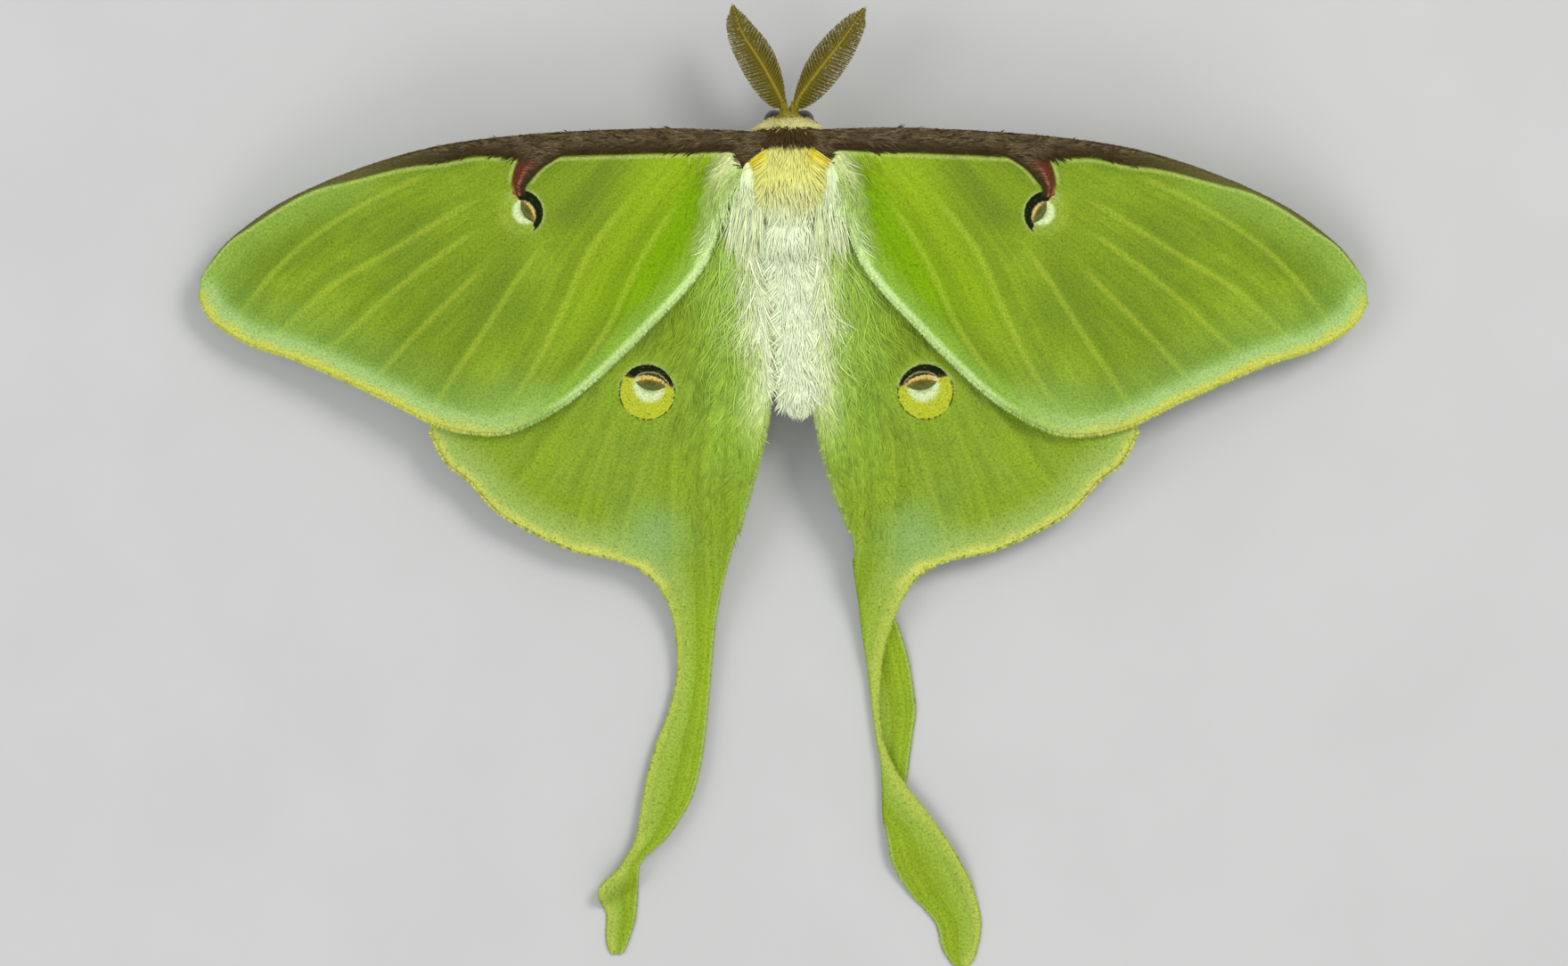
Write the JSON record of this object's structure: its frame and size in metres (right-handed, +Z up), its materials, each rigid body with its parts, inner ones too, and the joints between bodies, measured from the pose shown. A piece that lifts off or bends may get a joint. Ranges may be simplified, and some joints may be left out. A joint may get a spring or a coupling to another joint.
{
  "type": "luna moth",
  "caption": "Life-size luna moth with spread green wings, eyespots, long trailing tails, feather-like antennae and furred body, standing on its feet as a still model.",
  "frame": {"origin": "on the surface the moth stands on, under the middle of its box", "axes": "+Y from the tails to the head, +X to the right as seen from above with the head up, +Z up"},
  "size_m": [0.1055, 0.0869, 0.0109],
  "materials": {
    "forewing": "matte",
    "hindwing": "matte",
    "tail": "matte",
    "thorax_fur": "matte",
    "abdomen_fur": "matte",
    "head_fur": "matte",
    "eye": "gloss",
    "antenna": "satin",
    "leg_fur": "matte"
  },
  "bodies": {
    "root": {"head": "head_fur", "eye_left": "eye", "eye_right": "eye", "antenna_left": "antenna", "antenna_right": "antenna", "thorax": "thorax_fur", "abdomen": "abdomen_fur", "forewing_left": "forewing", "forewing_right": "forewing", "hindwing_left": "hindwing", "hindwing_right": "hindwing", "tail_left": "tail", "tail_right": "tail", "leg_front_left": "leg_fur", "leg_front_right": "leg_fur", "leg_mid_left": "leg_fur", "leg_mid_right": "leg_fur", "leg_hind_left": "leg_fur", "leg_hind_right": "leg_fur"}
  },
  "joints": []
}
